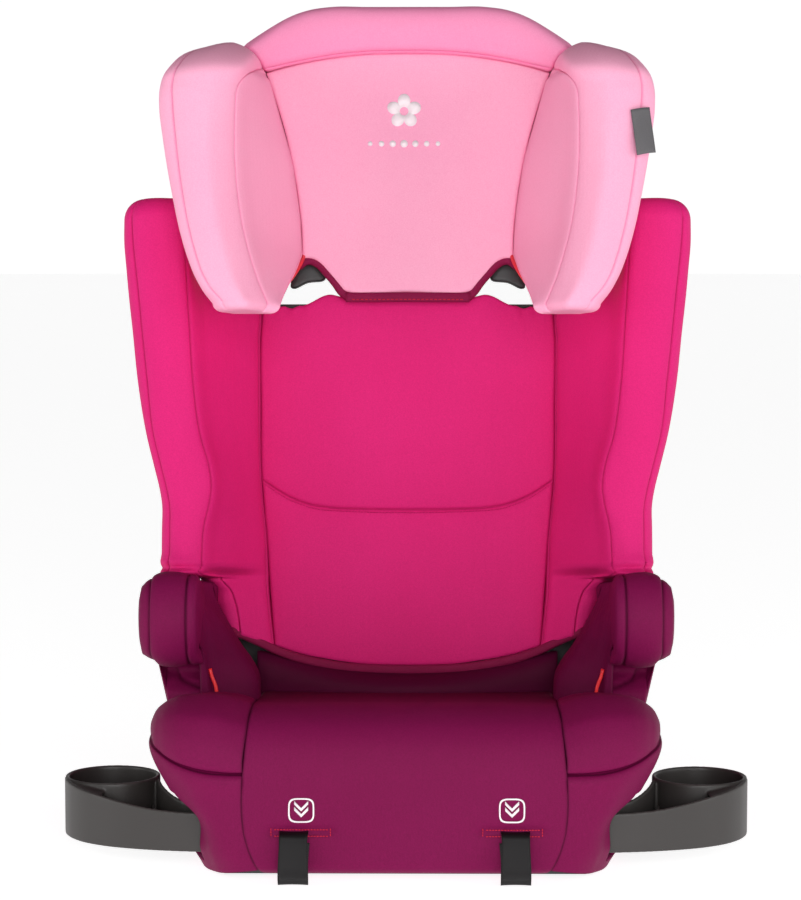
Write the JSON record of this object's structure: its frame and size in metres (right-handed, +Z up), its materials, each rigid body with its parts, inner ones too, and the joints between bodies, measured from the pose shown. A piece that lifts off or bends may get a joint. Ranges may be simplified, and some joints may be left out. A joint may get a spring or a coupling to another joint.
{
  "type": "high-back booster seat",
  "caption": "High-back child booster with side wings, height-adjustable headrest, armrests and fold-away cup holders.",
  "frame": {"origin": "middle of the underside plate, on the floor", "axes": "+X to the right of somebody facing the seat, +Y towards the back, +Z up"},
  "size_m": [0.616, 0.4542, 0.7772],
  "materials": {
    "core_foam": "moulded black foam",
    "black_plastic": "fine grain",
    "grip_rubber": "matt",
    "steel": "zinc plated",
    "plum_fabric": "knitted stretch fabric",
    "grey_shell": "fine grain",
    "red_trim": "semi-gloss",
    "cup_plastic": "fine grain",
    "black_webbing": "satin webbing",
    "magenta_fabric": "knitted stretch fabric",
    "dark_binding": "elastic tape",
    "pink_fabric": "knitted stretch fabric",
    "grey_label": "woven tab"
  },
  "bodies": {
    "base": {"base_core": "core_foam", "base_underside_cover": "black_plastic", "anti_slip_pads": "grip_rubber", "underside_screws": "steel", "seat_cushion": "plum_fabric", "seat_rear_band": "plum_fabric", "hinge_rod": "steel", "thigh_bolster_left": "plum_fabric", "thigh_bolster_right": "plum_fabric", "base_side_panel_left": "plum_fabric", "base_side_panel_right": "plum_fabric", "armrest_core_left": "grey_shell", "armrest_core_right": "grey_shell", "armrest_cover_left": "plum_fabric", "armrest_cover_right": "plum_fabric", "armrest_inner_pad_left": "plum_fabric", "armrest_inner_pad_right": "plum_fabric", "lap_belt_guide_left": "red_trim", "lap_belt_guide_right": "red_trim", "cup_holder_pin_left": "steel", "cup_holder_pin_right": "steel", "latch_strap_left": "black_webbing", "latch_strap_right": "black_webbing", "latch_connector_left": "black_plastic", "latch_connector_right": "black_plastic", "latch_hook_left": "steel", "latch_hook_right": "steel"},
    "backrest": {"backrest_shell": "grey_shell", "backrest_rear_cover": "black_plastic", "rear_cover_screws": "steel", "backrest_center_pad": "magenta_fabric", "backrest_hem": "dark_binding", "backrest_wing_left": "magenta_fabric", "backrest_wing_right": "magenta_fabric", "hinge_hook_left": "steel", "hinge_hook_right": "steel", "height_rack_left": "grey_shell", "height_rack_right": "grey_shell"},
    "headrest": {"headrest_shell": "grey_shell", "headrest_slider": "black_plastic", "headrest_spacer": "black_plastic", "headrest_screws": "steel", "headrest_center_pad": "pink_fabric", "headrest_top_pad": "pink_fabric", "side_label": "grey_label", "headrest_wing_left": "pink_fabric", "headrest_wing_right": "pink_fabric", "shoulder_belt_guide_left": "black_plastic", "shoulder_belt_guide_right": "black_plastic"},
    "release": {"release_lever": "red_trim", "release_link": "steel"},
    "lock_bolt_left": {"lock_bolt_left": "steel"},
    "cup_holder_left": {"cup_holder_left": "cup_plastic"},
    "latch_button_left": {"latch_button_left": "red_trim"},
    "lock_bolt_right": {"lock_bolt_right": "steel"},
    "cup_holder_right": {"cup_holder_right": "cup_plastic"},
    "latch_button_right": {"latch_button_right": "red_trim"}
  },
  "joints": [
    {"name": "backrest_recline", "type": "hinge", "parent": "base", "child": "backrest", "pos_m": [0, 0.15, 0.07], "axis": [-1, 0, 0], "range_deg": [0, 30]},
    {"name": "headrest_height", "type": "slide", "parent": "backrest", "child": "headrest", "axis": [0, 0.1392, 0.9903], "range_m": [0, 0.17]},
    {"name": "release_squeeze", "type": "slide", "parent": "headrest", "child": "release", "axis": [0, 0.1392, 0.9903], "range_m": [0, 0.01], "stiffness_N_per_m": 400, "springref_m": -0.01},
    {"name": "lock_bolt_left_draw", "type": "slide", "parent": "headrest", "child": "lock_bolt_left", "axis": [1, 0, 0], "range_m": [0, 0.006]},
    {"name": "cup_holder_left_fold", "type": "hinge", "parent": "base", "child": "cup_holder_left", "pos_m": [-0.168, -0.142, 0.04], "axis": [0, 0, -1], "range_deg": [0, 55]},
    {"name": "latch_button_left_press", "type": "slide", "parent": "base", "child": "latch_button_left", "axis": [0, 0, -1], "range_m": [0, 0.003], "stiffness_N_per_m": 600, "springref_m": -0.002},
    {"name": "lock_bolt_right_draw", "type": "slide", "parent": "headrest", "child": "lock_bolt_right", "axis": [-1, 0, 0], "range_m": [0, 0.006]},
    {"name": "cup_holder_right_fold", "type": "hinge", "parent": "base", "child": "cup_holder_right", "pos_m": [0.168, -0.142, 0.04], "axis": [0, 0, 1], "range_deg": [0, 55]},
    {"name": "latch_button_right_press", "type": "slide", "parent": "base", "child": "latch_button_right", "axis": [0, 0, -1], "range_m": [0, 0.003], "stiffness_N_per_m": 600, "springref_m": -0.002}
  ],
  "couplings": [
    {"joint": "lock_bolt_left_draw", "follows": "release_squeeze", "ratio": 0.6},
    {"joint": "lock_bolt_right_draw", "follows": "release_squeeze", "ratio": 0.6}
  ]
}
